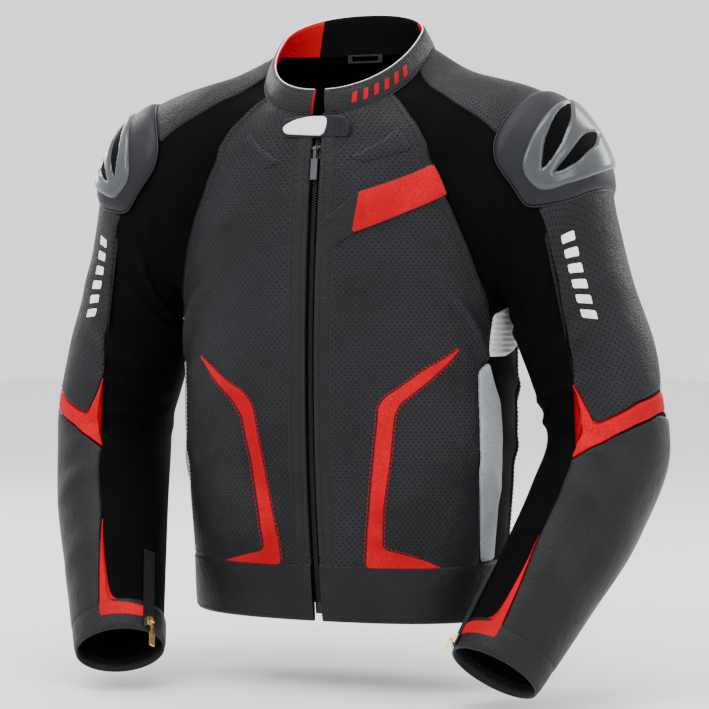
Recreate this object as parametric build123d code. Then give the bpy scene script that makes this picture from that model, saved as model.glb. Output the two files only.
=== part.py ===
from build123d import *
import math
import os

# Leather riding jacket. Millimetres, +Z up, the wearer faces -Y, the wearer's left is +X.
# The origin is the middle of the hanger loop at the back of the neck.

# driving dimensions
LEATHER = 2.2
LINING = 1.4
HEM_TOP = -531.0
HEM_BOTTOM = -594.0
SEAM_GAP = 0.6
PANEL_SIDE_X = 150.0
PANEL_BACK_Y = -48.0
YOKE_Z = -62.0
ZIP_GAP = 4.5
ZIP_RADIUS = 1326.0
TAPE_EDGE = 15.0
ZIP_CENTRE_Y = 1162.9
ZIP_CENTRE_Z = -331.2
ZIP_TOP_Z = -100.0
ZIP_BOTTOM_Z = -578.0
SLIDER_Z = -110.0
TAB_HINGE_X = -37.0
SHOULDER_PIVOT = (140.0, -50.0, -27.0)
ARMPIT = (191.0, -50.0, -262.0)
CUFF_LENGTH = 40.0

# torso: front (y, z), back (y, z), half width
TORSO_RINGS = [
    ((-136.8, -594.0), (50.0, -594.0), 168.0),
    ((-147.9, -531.0), (54.0, -531.0), 170.0),
    ((-159.2, -430.0), (62.0, -430.0), 176.0),
    ((-163.1, -330.0), (70.0, -325.0), 179.0),
    ((-159.6, -235.0), (74.0, -215.0), 182.0),
    ((-151.3, -155.0), (66.0, -100.0), 180.0),
    ((-144.3, -108.0), (44.0, -40.0), 148.0),
    ((-137.4, -71.0), (8.0, 4.0), 87.0),
]
NECK = ((-137.4, -71.0), (8.0, 4.0), 87.0)
RIM = ((-133.0, -46.0), (2.0, 47.0), 80.0)

# shoulders across the body: x, centre y, centre z, half depth, half height
SHOULDER_RINGS = [
    (58.0, -60.0, -72.0, 74.0, 66.0),
    (100.0, -56.0, -86.0, 78.0, 70.0),
    (150.0, -51.0, -124.0, 84.0, 95.0),
    (196.0, -50.0, -146.0, 86.0, 113.0),
]

# upper arm: outer (x, z), inner (x, z), centre y, half depth
ARM_RINGS = [
    ((141.7, -31.0), (190.8, -256.0), -50.0, 86.0),
    ((205.0, -50.0), (192.0, -262.0), -51.0, 84.0),
    ((255.0, -92.0), (191.0, -270.0), -51.0, 80.0),
    ((284.0, -155.0), (189.0, -281.0), -49.0, 74.0),
    ((301.0, -245.0), (187.0, -291.0), -46.0, 66.0),
    ((321.0, -320.0), (205.0, -350.0), -42.0, 64.0),
]
ELBOW = (283.0, -42.0, -412.0)
ELBOW_NORMAL = (-0.02, -0.26, -0.965)
ELBOW_SIZE = (62.0, 63.0)

# forearm: centre, direction, half across, half depth
FOREARM_RINGS = [
    ((268.0, -76.0, -478.0), (-0.29, -0.52, -0.80), 60.0, 59.0),
    ((238.0, -130.0, -555.0), (-0.30, -0.56, -0.77), 53.0, 50.0),
    ((206.0, -187.0, -632.0), (-0.30, -0.57, -0.76), 46.0, 42.0),
]


def unit(v):
    """Scale a vector to length one."""
    length = math.sqrt(sum(c * c for c in v))
    return tuple(c / length for c in v)


def outline(plane, half_x, half_y):
    """Oval face whose seam always starts on the plane's X axis."""
    edges = []
    for start in (0, 180):
        points = []
        for i in range(13):
            turn = math.radians(start + 15 * i)
            points.append(plane.from_local_coords((half_x * math.cos(turn), half_y * math.sin(turn), 0)))
        edges.append(Spline(*points))
    return make_face(edges)


def ring(spec, grow):
    """Tilted ellipse through a front and a back point."""
    (yf, zf), (yb, zb), half = spec
    length = math.hypot(yb - yf, zb - zf)
    normal = (0, -(zb - zf) / length, (yb - yf) / length)
    plane = Plane(origin=(0, (yf + yb) / 2, (zf + zb) / 2), x_dir=(1, 0, 0), z_dir=normal)
    return outline(plane, half + grow, length / 2 + grow)


def oval(centre, normal, across, depth):
    """Ellipse square to a direction, with its first axis level with X."""
    n = unit(normal)
    x_dir = unit((1 - n[0] * n[0], -n[0] * n[1], -n[0] * n[2]))
    return outline(Plane(origin=centre, x_dir=x_dir, z_dir=n), across, depth)


def block(x0, x1, y0, y1, z0, z1):
    """Axis-aligned block from its limits."""
    return Pos((x0 + x1) / 2, (y0 + y1) / 2, (z0 + z1) / 2) * Box(x1 - x0, y1 - y0, z1 - z0)


def beyond(point, normal, size=900):
    """Half space on the far side of a plane."""
    low = (Align.CENTER, Align.CENTER, Align.MIN)
    return Plane(origin=point, z_dir=unit(normal)) * Box(size, size, size / 2, align=low)


def prism(points, y0, y1):
    """Outline in X and Z, carried along Y."""
    face = Plane(origin=(0, y1, 0), x_dir=(1, 0, 0), z_dir=(0, -1, 0)) * Polygon(*points, align=None)
    return extrude(face, amount=y1 - y0, dir=(0, -1, 0))


def torso(grow):
    """Closed torso form with its shoulders, cut at both armholes."""
    body = loft([ring(r, grow) for r in TORSO_RINGS], ruled=True)
    for side in (1, -1):
        sections = []
        for x, y, z, depth, height in SHOULDER_RINGS:
            plane = Plane(origin=(side * x, y, z), x_dir=(0, 1, 0), z_dir=(side, 0, 0))
            sections.append(outline(plane, depth + grow, height + grow))
        body = body + loft(sections, ruled=True)
    for side in (1, -1):
        nx = SHOULDER_PIVOT[2] - ARMPIT[2]
        nz = ARMPIT[0] - SHOULDER_PIVOT[0]
        body = body - beyond((side * SHOULDER_PIVOT[0], 0, SHOULDER_PIVOT[2]), (side * nx, 0, nz))
    (yf, zf), (yb, zb), half = NECK
    length = math.hypot(yb - yf, zb - zf)
    normal = (0, -(zb - zf) / length, (yb - yf) / length)
    plane = Plane(origin=(0, (yf + yb) / 2, (zf + zb) / 2), x_dir=(1, 0, 0), z_dir=normal)
    hole = extrude(plane * Ellipse(half + 1.2, length / 2 + 1.2), amount=120)
    return body - hole


def upper_arm(grow):
    """Closed upper-arm form from the armhole to the elbow."""
    sections = []
    for (xo, zo), (xi, zi), y, depth in ARM_RINGS:
        length = math.hypot(xo - xi, zo - zi)
        ax = (xo - xi) / length
        az = (zo - zi) / length
        plane = Plane(origin=((xo + xi) / 2, y, (zo + zi) / 2), x_dir=(ax, 0, az), z_dir=(az, 0, -ax))
        sections.append(outline(plane, length / 2 + grow, depth + grow))
    sections.append(oval(ELBOW, ELBOW_NORMAL, ELBOW_SIZE[0] + grow, ELBOW_SIZE[1] + grow))
    return loft(sections, ruled=True)


def shoulder_cap(grow):
    """Upper-arm form moved outwards, for the hard pieces on and in the shoulder."""
    sections = []
    for (xo, zo), (xi, zi), y, depth in ARM_RINGS[1:5]:
        length = math.hypot(xo - xi, zo - zi)
        ax = (xo - xi) / length
        az = (zo - zi) / length
        centre = ((xo + xi) / 2 + ax * grow, y, (zo + zi) / 2 + az * grow)
        plane = Plane(origin=centre, x_dir=(ax, 0, az), z_dir=(az, 0, -ax))
        sections.append(outline(plane, length / 2, depth + grow))
    return loft(sections, ruled=True)


def forearm(grow):
    """Closed forearm form from the elbow to the cuff."""
    n = unit(ELBOW_NORMAL)
    start = tuple(ELBOW[i] + n[i] * SEAM_GAP for i in range(3))
    sections = [oval(start, ELBOW_NORMAL, ELBOW_SIZE[0] + grow, ELBOW_SIZE[1] + grow)]
    for centre, direction, across, depth in FOREARM_RINGS:
        sections.append(oval(centre, direction, across + grow, depth + grow))
    return loft(sections, ruled=True)


def zip_strip(x0, x1, r0, r1, z_low, z_high):
    """Bar that follows the front zip's arc."""
    low = math.degrees(math.asin((z_low - ZIP_CENTRE_Z) / ZIP_RADIUS))
    high = math.degrees(math.asin((z_high - ZIP_CENTRE_Z) / ZIP_RADIUS))
    points = [(x0, -r0), (x1, -r0), (x1, -r1), (x0, -r1)]
    face = Plane.XY * Polygon(*points, align=None)
    face = Rot(X=-high) * face
    bar = revolve(face, Axis((0, 0, 0), (1, 0, 0)), revolution_arc=high - low)
    return Pos(0, ZIP_CENTRE_Y, ZIP_CENTRE_Z) * bar


parts = {}


def both(name, shape):
    """Keep a left piece and its mirror image."""
    parts[name + "_left"] = shape
    parts[name + "_right"] = mirror(shape, about=Plane.YZ)


# torso panels
outer = torso(0)
inner = torso(-LEATHER)
shell = outer - inner
zone_body = block(-400, 400, -400, 400, HEM_TOP + SEAM_GAP, 200)
front_zone = block(ZIP_GAP, PANEL_SIDE_X, -400, PANEL_BACK_Y, HEM_TOP + SEAM_GAP, YOKE_Z - SEAM_GAP)
side_zone = block(PANEL_SIDE_X + SEAM_GAP, 400, -400, 400, HEM_TOP + SEAM_GAP, YOKE_Z - SEAM_GAP)
yoke_zone = block(30 + SEAM_GAP, 400, -400, 400, YOKE_Z, 200)
back_zone = block(-PANEL_SIDE_X, PANEL_SIDE_X, PANEL_BACK_Y + SEAM_GAP, 400, HEM_TOP + SEAM_GAP, YOKE_Z - SEAM_GAP)
both("front_panel", shell & front_zone)
both("side_panel", shell & side_zone)
both("shoulder_yoke", shell & yoke_zone)
neck_back = block(-30, 30, PANEL_BACK_Y + SEAM_GAP, 400, YOKE_Z - SEAM_GAP, 200)
parts["back_panel"] = shell & (back_zone + neck_back)

# hem band, a little thicker than the panels
hem = loft([ring(r, 1.4) for r in TORSO_RINGS[:2]], ruled=True)
hem = hem - loft([ring(r, -LEATHER) for r in TORSO_RINGS[:2]], ruled=True)
both("hem_band", hem & block(ZIP_GAP, 400, -400, PANEL_BACK_Y, HEM_BOTTOM - 1, HEM_TOP))
parts["hem_band_back"] = hem & block(-400, 400, PANEL_BACK_Y + SEAM_GAP, 400, HEM_BOTTOM - 1, HEM_TOP)

# lining and the back protector in its pocket
lining = torso(-LEATHER - 1.2) - torso(-LEATHER - 1.2 - LINING)
front_slot = block(-20, 20, -400, -60, -700, -60)
lining = lining & block(0, 400, -400, 400, HEM_BOTTOM + 12, 200) - front_slot
parts["torso_lining"] = lining + mirror(lining, about=Plane.YZ)
plate = torso(-6.4) - torso(-18.4)
plate_line = prism([(-62, -96), (62, -96), (104, -150), (104, -330), (70, -470), (-70, -470),
                 (-104, -330), (-104, -150)], -10, 200)
parts["back_protector"] = plate & plate_line

# coloured pieces laid over the panels
skin = torso(1.9) - torso(0.4)
band_line = [(6, -180), (50, -150), (118, -122), (128, -152), (46, -196), (6, -218)]
flash_line = [(50.6, -149), (117, -120.5), (127, -152), (46.6, -194)]
band = skin & prism(band_line, -400, -60)
flash_cut = prism(flash_line, -400, -60)
parts["chest_band"] = band - flash_cut
parts["chest_flash"] = skin & prism(flash_line, -400, -60) & block(51.2, 126, -400, -60, -220, -110)
stripe_line = [(141, -318), (132, -334), (104, -357), (92, -378), (80, -455), (74, -505), (72, -524),
               (112, -527.5), (112, -529.5), (51, -529.5), (54, -505), (63, -440), (70, -378),
               (80, -352), (106, -335)]
both("front_stripe", skin & prism(stripe_line, -400, -60))
both("side_accordion", skin & block(160, 400, -92, -4, -345, -268))
both("side_flash", skin & block(150, 400, -104, -70, -470, -348))

# collar
collar_out = loft([ring(NECK, 0.4), ring(RIM, 2.0)])
collar_in = loft([ring(NECK, -LEATHER - 0.4), ring(RIM, -LEATHER + 1.2)])
lining_in = loft([ring(NECK, -LEATHER - 2.4), ring(RIM, -LEATHER - 0.8)])
neck_mid = (0, (NECK[0][0] + NECK[1][0]) / 2, (NECK[0][1] + NECK[1][1]) / 2)
neck_up = (0, NECK[0][1] - NECK[1][1], NECK[1][0] - NECK[0][0])
above_neck = beyond((0, neck_mid[1] + unit(neck_up)[1] * 0.6, neck_mid[2] + unit(neck_up)[2] * 0.6), neck_up)
collar_slot = block(-ZIP_GAP, ZIP_GAP, -400, -80, -200, 100)
parts["collar_shell"] = ((collar_out - collar_in) & above_neck) - collar_slot
collar_skin = loft([ring(NECK, -LEATHER - 1.0), ring(RIM, -LEATHER + 0.6)])
parts["collar_lining"] = ((collar_skin - lining_in) & above_neck) - collar_slot

# front zip: each half is its tape with a row of teeth along the edge
for side, name in ((1, "left"), (-1, "right")):
    x0, x1 = sorted((side * 1.4, side * TAPE_EDGE))
    tape = zip_strip(x0, x1, ZIP_RADIUS - 5.2, ZIP_RADIUS - 4.2, ZIP_BOTTOM_Z, ZIP_TOP_Z)
    x0, x1 = sorted((side * 4.6, side * TAPE_EDGE))
    tape = tape + zip_strip(x0, x1, ZIP_RADIUS - 5.2, ZIP_RADIUS - 4.2, HEM_BOTTOM + 2, -80)
    x0, x1 = sorted((side * 0.2, side * 2.6))
    teeth = zip_strip(x0, x1, ZIP_RADIUS - 5.8, ZIP_RADIUS - 2.9, ZIP_BOTTOM_Z, ZIP_TOP_Z)
    parts["zip_chain_" + name] = tape + teeth
parts["zip_box"] = zip_strip(-4.0, 4.0, ZIP_RADIUS - 5.4, ZIP_RADIUS - 1.6, HEM_BOTTOM + 4, ZIP_BOTTOM_Z - 0.4)
parts["wind_flap"] = zip_strip(-19, 19, ZIP_RADIUS - 9.2, ZIP_RADIUS - 7.4, HEM_BOTTOM + 14, -86)

# slider and its pull, square to the zip where the slider rests
slider_angle = math.degrees(math.asin((SLIDER_Z - ZIP_CENTRE_Z) / ZIP_RADIUS))
slider_frame = Pos(0, ZIP_CENTRE_Y, ZIP_CENTRE_Z) * Rot(X=-slider_angle) * Pos(0, -ZIP_RADIUS, 0)
PIN_OUT = 3.4
slider = block(-4.1, 4.1, 1.0, 2.4, -7, 7)
slider = slider + block(3.0, 4.1, 1.0, 3.2, -7, 7) + block(-4.1, -3.0, 1.0, 3.2, -7, 7)
for x in (-2.7, 2.7):
    slider = slider + block(x - 0.7, x + 0.7, -PIN_OUT - 1.1, 1.1, 1.9, 4.1)
pin = Pos(0, -PIN_OUT, 3) * Rot(Y=90) * Cylinder(0.8, 5.4)
parts["zip_slider"] = slider_frame * (slider + pin)
eye = Pos(0, -PIN_OUT, 3) * Rot(Y=90) * Cylinder(2.2, 3.2)
hole = Pos(0, -PIN_OUT, 3) * Rot(Y=90) * Cylinder(1.1, 6)
grip = block(-1.6, 1.6, -PIN_OUT - 0.9, -PIN_OUT + 0.9, -9, 2) + block(-3.6, 3.6, -PIN_OUT - 1.1,
                                                                     -PIN_OUT + 1.1, -30, -8)
parts["zip_pull"] = slider_frame * ((eye + grip) - hole)

# collar tab: a strap end sewn on one front, with a plain badge and a snap
tab_angle = math.degrees(math.asin((-87.0 - ZIP_CENTRE_Z) / ZIP_RADIUS))
tab_frame = Pos(0, ZIP_CENTRE_Y, ZIP_CENTRE_Z) * Rot(X=-tab_angle) * Pos(0, -ZIP_RADIUS, 0)
strap = block(TAB_HINGE_X + 1.5, 38, -8.4, -6.2, -11.5, 11.5)
root = Pos(TAB_HINGE_X, -7.3, 0) * Cylinder(2.0, 21)
socket = Pos(27, -6.0, 0) * Rot(X=90) * Cylinder(5.0, 1.0)
parts["collar_tab"] = tab_frame * (strap + root + socket)
badge_line = [(-33, -8), (-33, 9), (-12, 10.5), (12, 10.5), (12, 3), (6, -9.5), (-26, -10)]
badge = extrude(Plane(origin=(0, -8.7, 0), x_dir=(1, 0, 0), z_dir=(0, -1, 0)) * Polygon(*badge_line, align=None),
                amount=2.2, dir=(0, -1, 0))
parts["tab_badge"] = tab_frame * badge
parts["tab_snap"] = tab_frame * (Pos(27, -2.75, 0) * Rot(X=90) * Cylinder(4.6, 4.9))

# hanger loop and the zip that joins trousers
parts["hanger_loop"] = Box(40, 1.6, 9) - Box(30, 4, 5.2)
trouser = loft([ring(r, -9.4) for r in TORSO_RINGS[:2]]) - loft([ring(r, -11.6) for r in TORSO_RINGS[:2]])
parts["trouser_zip"] = trouser & block(-150, 150, -20, 200, HEM_BOTTOM + 16, HEM_BOTTOM + 40)

# sleeves
elbow_n = unit(ELBOW_NORMAL)
cuff_end = FOREARM_RINGS[-1]
cuff_n = unit(cuff_end[1])
cuff_cut = tuple(cuff_end[0][i] - cuff_n[i] * CUFF_LENGTH for i in range(3))
arm_shell = upper_arm(0) - upper_arm(-LEATHER)
both("sleeve_upper", arm_shell)
arm_skin = upper_arm(1.9) - upper_arm(0.4)
strip_zone = beyond((262 + 34, -52, -335), (0.93, -0.20, 0.27)) & block(0, 500, -400, 400, -372, -190)
both("sleeve_strip", arm_skin & strip_zone)
flash = prism([(257, -352), (257, -396), (350, -372), (350, -350), (284, -384)], -400, -42)
elbow_keep = beyond(tuple(ELBOW[i] - elbow_n[i] * 1.0 for i in range(3)), tuple(-c for c in elbow_n))
both("elbow_flash", (arm_skin & flash & elbow_keep) - beyond((262 + 34, -52, -335), (0.93, -0.20, 0.27)))
cup_dir = unit((0.62, -0.60, 0.50))
cup_mid = (232, -82, -106)
cup_plane = Plane(origin=cup_mid, x_dir=unit((0.6, 0.62, 0)), z_dir=cup_dir)
cup_base = (shoulder_cap(8.0) - shoulder_cap(0.5)) & (cup_plane * Cylinder(60, 200))
cup_base = cup_base - block(0, 158, -400, 400, -400, 400)
cup_base = cup_base & beyond(tuple(cup_mid[i] - cup_dir[i] * 45 for i in range(3)), cup_dir, 900)
both("shoulder_cup_base", cup_base)
cup_shell = (shoulder_cap(13.0) - shoulder_cap(8.4)) & (cup_plane * (Pos(6, -4, 0) * Cylinder(43, 200)))
cup_shell = cup_shell & beyond(tuple(cup_mid[i] - cup_dir[i] * 30 for i in range(3)), cup_dir, 900)
both("shoulder_cup_shell", cup_shell)
pad_plane = Plane(origin=(190, -50, -150), x_dir=(0, 1, 0), z_dir=unit((0.8, 0, 0.6)))
pad = pad_plane * ((Sphere(75) - Sphere(67)) & (Pos(0, 0, 60) * Cylinder(50, 120)))
both("shoulder_protector", pad)

# forearm, cuff and elbow protector
fore = forearm(0)
fore_shell = fore - forearm(-LEATHER)
past_cuff = beyond(cuff_cut, cuff_n)
both("forearm", fore_shell - past_cuff)
cuff_gap = beyond(tuple(cuff_cut[i] + cuff_n[i] * SEAM_GAP for i in range(3)), cuff_n)
both("cuff", (forearm(-0.6) - forearm(-4.2)) & cuff_gap)
fore_skin = forearm(1.9) - forearm(0.4)
cuff_flash = prism([(245, -486), (247, -520), (216, -584), (177, -592), (180, -571), (207, -567)], -400, -80)
guard_plane = Plane(origin=(295, -40, -455), x_dir=(0, 0, 1), z_dir=unit((0.55, 0.80, -0.10)))
guard = (forearm(-4.0) - forearm(-13.0)) & (guard_plane * Cylinder(50, 200))
guard = guard & beyond((282, -55, -455), (0.55, 0.80, -0.10))
both("elbow_protector", guard)

# cuff zip: a straight chain laid along the inner side of the forearm
zip_side = unit((-0.80, -0.25, 0.50))
low_end = tuple(cuff_end[0][i] + zip_side[i] * 46.8 for i in range(3))
high_end = tuple(FOREARM_RINGS[-2][0][i] + zip_side[i] * 54.4 for i in range(3))
zip_along = unit(tuple(low_end[i] - high_end[i] for i in range(3)))
lean = sum(zip_side[i] * zip_along[i] for i in range(3))
zip_in = unit(tuple(zip_along[i] * lean - zip_side[i] for i in range(3)))
zip_across = (zip_in[1] * zip_along[2] - zip_in[2] * zip_along[1],
              zip_in[2] * zip_along[0] - zip_in[0] * zip_along[2],
              zip_in[0] * zip_along[1] - zip_in[1] * zip_along[0])
cuff_frame = Plane(origin=low_end, x_dir=zip_across, z_dir=zip_along)
chain = block(-7, 7, -1.8, -0.9, -96, -3) + block(-2.2, 2.2, -3.0, -1.7, -94, -4)
both("cuff_zip", cuff_frame * chain)
runner = block(-3.4, 3.4, -4.5, -3.3, -15, -5)
runner = runner + block(2.5, 3.4, -4.4, -2.1, -15, -5) + block(-3.4, -2.5, -4.4, -2.1, -15, -5)
for x in (-2.4, 2.4):
    runner = runner + block(x - 0.6, x + 0.6, -7.6, -4.4, -8.8, -7.2)
runner = runner + Pos(0, -6.8, -8) * Rot(Y=90) * Cylinder(0.7, 4.6)
both("cuff_zip_slider", cuff_frame * runner)
cuff_eye = Pos(0, -6.8, -8) * Rot(Y=90) * Cylinder(1.9, 2.8)
cuff_grip = block(-1.4, 1.4, -7.6, -6.0, -7, 6) + block(-3.0, 3.0, -7.8, -5.8, 5, 20)
cuff_pull = (cuff_eye + cuff_grip) - Pos(0, -6.8, -8) * Rot(Y=90) * Cylinder(1.0, 6)
both("cuff_zip_pull", cuff_frame * cuff_pull)
clear_zip = cuff_frame * block(-9, 9, -9, 4, -110, 10)
both("cuff_flash", (fore_skin & cuff_flash) - clear_zip)

os.makedirs("parts", exist_ok=True)
for name, shape in parts.items():
    export_step(shape, f"parts/{name}.step")
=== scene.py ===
import math
import bpy
import numpy as np
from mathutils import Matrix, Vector
from mathutils.geometry import delaunay_2d_cdt


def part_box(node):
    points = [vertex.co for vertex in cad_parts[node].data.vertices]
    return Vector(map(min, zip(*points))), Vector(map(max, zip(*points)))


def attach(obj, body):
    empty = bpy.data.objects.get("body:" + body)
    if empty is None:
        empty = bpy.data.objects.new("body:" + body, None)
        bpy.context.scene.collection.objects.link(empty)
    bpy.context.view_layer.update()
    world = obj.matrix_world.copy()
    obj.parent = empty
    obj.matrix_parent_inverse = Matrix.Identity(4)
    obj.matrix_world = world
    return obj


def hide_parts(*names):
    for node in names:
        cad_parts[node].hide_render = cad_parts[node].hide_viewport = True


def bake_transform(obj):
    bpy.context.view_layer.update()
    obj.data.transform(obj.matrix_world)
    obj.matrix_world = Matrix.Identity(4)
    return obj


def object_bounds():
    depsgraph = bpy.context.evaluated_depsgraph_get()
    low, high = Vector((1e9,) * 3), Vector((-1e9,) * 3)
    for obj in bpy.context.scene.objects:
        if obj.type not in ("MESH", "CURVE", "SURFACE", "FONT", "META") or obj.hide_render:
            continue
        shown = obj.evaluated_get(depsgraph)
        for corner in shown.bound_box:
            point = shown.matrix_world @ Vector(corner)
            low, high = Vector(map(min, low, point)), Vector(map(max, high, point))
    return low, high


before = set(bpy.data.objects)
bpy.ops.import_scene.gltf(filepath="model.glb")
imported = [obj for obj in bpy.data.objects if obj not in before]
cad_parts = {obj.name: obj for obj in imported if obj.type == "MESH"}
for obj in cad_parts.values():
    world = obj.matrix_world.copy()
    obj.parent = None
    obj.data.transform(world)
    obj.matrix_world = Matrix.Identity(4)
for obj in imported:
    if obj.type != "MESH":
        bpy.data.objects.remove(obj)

# Leather riding jacket. Surfaces are laid out in millimetres, and new_mesh turns them into metres.
# A chart is a pair of numbers on a surface: a turn in degrees and a station from 0 to 1.
MM = 0.001
CAD_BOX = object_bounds()
SIDES = (("left", 1), ("right", -1))
HEM_V = 0.09
SPLIT_T = 0.50
ZIP_RADIUS, ZIP_Y, ZIP_Z = 1326.0, 1162.9, -331.2
ZIP_TOP, ZIP_BOTTOM = -86.0, -578.0
FOLD_GAIN = 1.4
HOLLOW_GAIN = 0.45
HOLLOW_SHIFT = 2.1
HOLE_PITCH, HOLE_RADIUS = 0.0068, 0.00095
TOOTH_PITCH = 2.7
FLOOR_DROP = 12.0
VIEW_TURN, VIEW_RISE, VIEW_DISTANCE = 21.0, 1.5, 2.45
VIEW_MIDDLE = Vector((0.0, -0.062, -0.325))
VIEW_LENS, VIEW_SENSOR, VIEW_SHIFT = 116.3, 36.0, (0.0134, 0.0049)

# torso rings: station, front (y, z), side (x, y, z), back (y, z)
TORSO = [
    (0.00, -136.6, -597, 168, -46, -595, 50, -597),
    (0.10, -147.9, -531, 170, -46, -530, 54, -531),
    (0.22, -157.3, -455, 175, -46, -455, 60, -455),
    (0.33, -162.0, -385, 179, -46, -385, 66, -385),
    (0.44, -163.1, -325, 179, -46, -325, 70, -320),
    (0.56, -160.6, -250, 182, -48, -245, 74, -235),
    (0.66, -155.6, -190, 188, -50, -185, 73, -160),
    (0.75, -150.0, -145, 190, -52, -130, 67, -100),
    (0.83, -144.9, -112, 180, -54, -75, 55, -60),
    (0.89, -142.0, -95, 156, -54, -42, 42, -34),
    (0.95, -139.5, -82, 120, -46, -16, 24, -12),
    (1.00, -137.4, -71, 87, -32, 3, 8, 4),
]
# the raglan seam, where a sleeve leaves the torso: turn, torso angle, torso station
RAGLAN = [
    (0, 90, 1.0), (22, 66, 1.0), (42, 47, 1.0), (58, 37.5, 0.90), (78, 35.5, 0.815), (98, 41, 0.73),
    (118, 50, 0.65), (138, 61, 0.58), (158, 72, 0.512), (180, 90, 0.50),
]
# upper arm rings: station, outer (x, z), inner (x, z), centre y, half depth
ARM = [
    (0.10, 140, -26, 184, -268, -50, 88),
    (0.18, 203, -44, 185, -273, -51, 85),
    (0.25, 243, -67, 186, -279, -51, 82),
    (0.32, 276, -118, 187, -286, -50, 77),
    (0.39, 290, -180, 187, -292, -48, 71),
    (0.46, 306, -243, 188, -303, -46, 67),
    (0.56, 330, -316, 205, -352, -42, 65),
]
# forearm rings: station, centre, direction, half across, half depth
FORE = [
    (0.68, (283, -42, -412), (-0.02, -0.26, -0.965), 62, 64),
    (0.78, (268, -76, -478), (-0.29, -0.52, -0.80), 60, 60),
    (0.89, (238, -130, -555), (-0.30, -0.56, -0.77), 53, 51),
    (1.00, (206, -187, -632), (-0.30, -0.57, -0.76), 46, 42),
]
# collar rim: front (y, z), side (x, y, z), back (y, z)
RIM = (-133, -45, 77, -40, 18, 2, 47)


# ---- surface forms ----

def unit(rows):
    """Rows scaled to length one."""
    return rows / np.maximum(np.linalg.norm(rows, axis=1), 1e-9)[:, None]


def left_of(tangent):
    """Unit directions to the left of flat tangents."""
    return unit(np.stack([-tangent[:, 1], tangent[:, 0]], 1))


def fade(x, low, high):
    """Smooth step from 0 at low to 1 at high."""
    s = np.clip((x - low) / (high - low), 0, 1)
    return s * s * (3 - 2 * s)


def flow(stations, rows, t):
    """Smooth curve without overshoot through rows (n, N, k) at stations, read at t (N)."""
    x = np.asarray(stations, float)
    slope = np.diff(rows, axis=0) / np.diff(x)[:, None, None]
    tangent = np.zeros_like(rows)
    before, after = slope[:-1], slope[1:]
    same = before * after > 0
    tangent[1:-1] = np.where(same, 2 * before * after / np.where(same, before + after, 1), 0)
    tangent[0], tangent[-1] = slope[0], slope[-1]
    i = np.clip(np.searchsorted(x, t) - 1, 0, len(x) - 2)
    n = np.arange(len(t))
    width = (x[i + 1] - x[i])[:, None]
    s = ((t - x[i]) / (x[i + 1] - x[i]))[:, None]
    start = (2 * s**3 - 3 * s**2 + 1) * rows[i, n] + (s**3 - 2 * s**2 + s) * tangent[i, n] * width
    end = (3 * s**2 - 2 * s**3) * rows[i + 1, n] + (s**3 - s**2) * tangent[i + 1, n] * width
    return start + end


def ring_point(c, phi, power=0.82):
    """Point of a rounded ring; c holds front y z, side x y z, back y z."""
    cos = np.sign(np.cos(phi)) * np.abs(np.cos(phi))**power
    sin = np.sign(np.sin(phi)) * np.abs(np.sin(phi))**power
    fore = cos >= 0
    a = np.abs(cos)
    y = c[:, 3] + np.where(fore, c[:, 0] - c[:, 3], c[:, 5] - c[:, 3]) * a
    z = c[:, 4] + np.where(fore, c[:, 1] - c[:, 4], c[:, 6] - c[:, 4]) * a
    return np.stack([c[:, 2] * sin, y, z], 1)


def torso_form(phi, v):
    """Torso: phi in degrees from the front towards the wearer's left, v from hem to neck."""
    rows = np.array([r[1:] for r in TORSO], float)[:, None, :].repeat(len(v), 1)
    return ring_point(flow([r[0] for r in TORSO], rows, v), np.radians(phi))


def sleeve_form(th, t):
    """Left sleeve: th in degrees from the outer side over the front, t from collar to cuff."""
    th = np.mod(th, 360)
    back = th > 180
    s = np.where(back, 360 - th, th)
    q = np.array(RAGLAN, float)
    path = flow(q[:, 0], q[:, None, 1:].repeat(len(th), 1), s)
    rows = [torso_form(np.where(back, 180 - path[:, 0], path[:, 0]), path[:, 1])]
    c, sn = np.cos(np.radians(th))[:, None], np.sin(np.radians(th))[:, None]
    for _, xo, zo, xi, zi, y, depth in ARM:
        centre = np.array([(xo + xi) / 2, y, (zo + zi) / 2])
        half = np.array([(xo - xi) / 2, 0, (zo - zi) / 2])
        rows.append(centre + c * half + sn * np.array([0, -depth, 0]))
    for _, centre, n, across, depth in FORE:
        n = np.array(n) / np.linalg.norm(n)
        x = np.array([1, 0, 0]) - n * n[0]
        x /= np.linalg.norm(x)
        front = np.cross(n, x)
        front = front if front[1] < 0 else -front
        rows.append(np.array(centre) + c * x * across + sn * front * depth)
    return flow([0.0] + [r[0] for r in ARM] + [r[0] for r in FORE], np.stack(rows), t)


def collar_form(phi, s):
    """Collar from the neck seam, s = 0, to the rim, s = 1."""
    low = torso_form(phi, np.ones(len(phi)))
    rim = np.array(RIM, float)[None, :].repeat(len(phi), 0)
    high = ring_point(rim, np.radians(phi), 0.9)
    out = low * (1 - s[:, None]) + high * s[:, None]
    away = out - np.array([0, -64, 0])
    away[:, 2] = 0
    bulge = np.sin(np.pi * s) * 1.5
    return out + unit(away) * bulge[:, None]


def fold(a, b, start, end, width, scale):
    """Ridge along a line between two chart points; scale turns chart units into millimetres."""
    p = np.stack([a * scale[0], b * scale[1]], 1)
    s, e = np.array(start) * scale, np.array(end) * scale
    d = e - s
    along = ((p - s) @ d) / (d @ d)
    near = np.clip(along, 0, 1)
    gap = np.linalg.norm(p - s - near[:, None] * d, axis=1)
    return np.exp(-(gap / width) ** 2) * np.sin(np.pi * np.clip(along, 0.02, 0.98)) ** 0.5


TORSO_SCALE = np.array((2.6, 600.0))
SLEEVE_SCALE = np.array((1.15, 640.0))
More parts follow.
